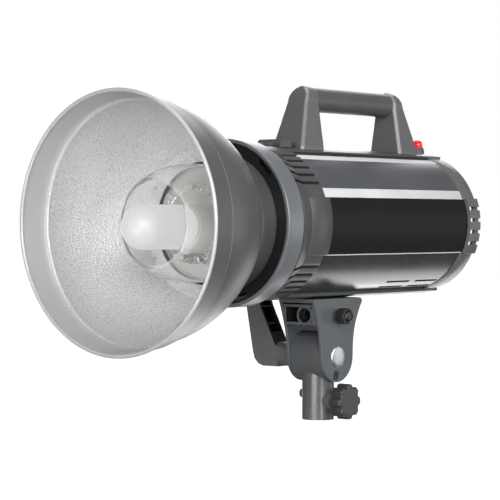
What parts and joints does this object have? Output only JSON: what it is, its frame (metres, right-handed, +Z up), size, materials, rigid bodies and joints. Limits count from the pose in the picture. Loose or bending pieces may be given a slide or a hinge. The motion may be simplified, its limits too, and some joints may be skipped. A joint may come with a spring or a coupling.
{
  "type": "monolight studio strobe",
  "caption": "Studio flash head with a bayonet dish reflector, ring flash tube, modelling lamp, carrying handle, rear controls and a tilting stand bracket with an umbrella holder.",
  "frame": {"origin": "centre of the stand socket's mouth, at the bottom of the stand adapter", "axes": "+Z up along the stand socket, the light leaves towards -Y, +X is the side with the stand knob and the umbrella screw"},
  "size_m": [0.21, 0.421, 0.2912],
  "materials": {
    "reflector_sheet": "satin outside, pebbled inside",
    "collar_black": "satin black anodised",
    "bright_steel": "plain",
    "ring_grey": "satin grey",
    "grey_plastic": "satin dark grey",
    "skin_grey": "satin grey paint",
    "label_grey": "fine satin",
    "panel_black": "semi gloss",
    "silver_paint": "satin silver",
    "display_glass": "clear over a dark display",
    "black_plastic": "satin black",
    "red_lens": "clear red",
    "grip_rubber": "matte",
    "chassis_sheet": "mill finish",
    "capacitor_sleeve": "shrink sleeve",
    "circuit_board": "solder mask",
    "winding": "varnished winding",
    "ceramic_white": "matte",
    "quartz_glass": "clear",
    "opal_glass": "opal",
    "brass_cap": "plain",
    "clear_glass": "clear",
    "bracket_grey": "textured grey paint",
    "adapter_grey": "satin dark grey paint",
    "chrome_bolt": "polished",
    "button_grey": "satin"
  },
  "bodies": {
    "stand_adapter": {"stand_adapter": "adapter_grey"},
    "head": {"mount_ring": "ring_grey", "bayonet_plate": "collar_black", "nose_collar": "grey_plastic", "housing": "skin_grey", "label_panel_right": "label_grey", "label_panel_left": "label_grey", "side_panel_right": "panel_black", "side_panel_left": "panel_black", "silver_strips": "silver_paint", "top_rail": "grey_plastic", "bottom_rail": "grey_plastic", "rear_cap": "grey_plastic", "rear_panel": "panel_black", "display_window": "display_glass", "mains_inlet": "black_plastic", "sync_jack": "bright_steel", "dome_base": "grey_plastic", "sensor_dome": "red_lens", "handle_front": "grey_plastic", "handle_rear": "grey_plastic", "handle_grip": "grip_rubber", "handle_screws": "bright_steel", "chassis": "chassis_sheet", "capacitors": "capacitor_sleeve", "power_board": "circuit_board", "control_board": "circuit_board", "trigger_transformer": "winding", "fan_frame": "black_plastic", "front_plate": "ceramic_white", "flash_tube": "quartz_glass", "tube_clips": "bright_steel", "lamp_socket": "ceramic_white", "lamp_bulb": "opal_glass", "lamp_cap": "brass_cap", "glass_cover": "clear_glass", "bracket_base": "bracket_grey", "cheek_right": "bracket_grey", "cheek_left": "bracket_grey", "umbrella_holder": "adapter_grey", "bracket_screws": "bright_steel", "pivot_bolt": "chrome_bolt"},
    "reflector": {"reflector_dish": "reflector_sheet", "reflector_collar": "collar_black", "reflector_rivets": "bright_steel"},
    "latch": {"latch_slider": "grey_plastic", "latch_pin": "bright_steel"},
    "button_down": {"button_down": "button_grey"},
    "button_lamp": {"button_lamp": "button_grey"},
    "button_test": {"button_test": "button_grey"},
    "button_up": {"button_up": "button_grey"},
    "clamp_pad": {"clamp_pad": "bright_steel"},
    "control_dial": {"control_dial": "black_plastic"},
    "fan_rotor": {"fan_rotor": "black_plastic"},
    "fuse_drawer": {"fuse_drawer": "black_plastic"},
    "power_rocker": {"power_rocker": "black_plastic"},
    "stand_knob": {"stand_knob": "black_plastic"},
    "tilt_lever": {"tilt_lever": "black_plastic"},
    "umbrella_pad": {"umbrella_pad": "bright_steel"},
    "umbrella_screw": {"umbrella_screw": "black_plastic"}
  },
  "joints": [
    {"name": "head_tilt", "type": "hinge", "parent": "stand_adapter", "child": "head", "pos_m": [0, 0.0025, 0.0555], "axis": [1, 0, 0], "range_deg": [-90, 70]},
    {"name": "lever_turn", "type": "hinge", "parent": "head", "child": "tilt_lever", "pos_m": [0, 0.0025, 0.0555], "axis": [1, 0, 0], "range_deg": [0, 90]},
    {"name": "reflector_twist", "type": "hinge", "parent": "head", "child": "reflector", "pos_m": [0, -0.2605, 0.172], "axis": [0, 1, 0], "range_deg": [0, 28]},
    {"name": "latch_slide", "type": "slide", "parent": "head", "child": "latch", "axis": [0, 1, 0], "range_m": [0, 0.003], "stiffness_N_per_m": 900, "springref_m": -0.003},
    {"name": "fan_spin", "type": "hinge", "parent": "head", "child": "fan_rotor", "pos_m": [0, 0.0905, 0.172], "axis": [0, 1, 0], "continuous": true},
    {"name": "dial_turn", "type": "hinge", "parent": "head", "child": "control_dial", "pos_m": [0, 0.1495, 0.16], "axis": [0, 1, 0], "continuous": true},
    {"name": "rocker_tilt", "type": "hinge", "parent": "head", "child": "power_rocker", "pos_m": [-0.032, 0.1442, 0.156], "axis": [1, 0, 0], "range_deg": [-14, 0]},
    {"name": "fuse_slide", "type": "slide", "parent": "head", "child": "fuse_drawer", "axis": [0, 1, 0], "range_m": [0, 0.011]},
    {"name": "stand_clamp", "type": "slide", "parent": "stand_adapter", "child": "clamp_pad", "axis": [-1, 0, 0], "range_m": [0, 0.0025]},
    {"name": "stand_knob_turn", "type": "hinge", "parent": "clamp_pad", "child": "stand_knob", "pos_m": [0.03, 0, 0.017], "axis": [-1, 0, 0], "range_deg": [0, 720]},
    {"name": "umbrella_clamp", "type": "slide", "parent": "head", "child": "umbrella_pad", "axis": [-1, 0, 0], "range_m": [0, 0.0023]},
    {"name": "umbrella_screw_turn", "type": "hinge", "parent": "umbrella_pad", "child": "umbrella_screw", "pos_m": [0.029, 0.001, 0.0911], "axis": [-1, 0, 0], "range_deg": [0, 662.4]},
    {"name": "button_up_press", "type": "slide", "parent": "head", "child": "button_up", "axis": [0, -1, 0], "range_m": [0, 0.0015], "stiffness_N_per_m": 500, "springref_m": -0.0008},
    {"name": "button_down_press", "type": "slide", "parent": "head", "child": "button_down", "axis": [0, -1, 0], "range_m": [0, 0.0015], "stiffness_N_per_m": 500, "springref_m": -0.0008},
    {"name": "button_test_press", "type": "slide", "parent": "head", "child": "button_test", "axis": [0, -1, 0], "range_m": [0, 0.0015], "stiffness_N_per_m": 500, "springref_m": -0.0008},
    {"name": "button_lamp_press", "type": "slide", "parent": "head", "child": "button_lamp", "axis": [0, -1, 0], "range_m": [0, 0.0015], "stiffness_N_per_m": 500, "springref_m": -0.0008}
  ],
  "couplings": [
    {"joint": "stand_knob_turn", "follows": "stand_clamp", "rad_per_m": 5026.5},
    {"joint": "umbrella_screw_turn", "follows": "umbrella_clamp", "rad_per_m": 5026.5}
  ]
}
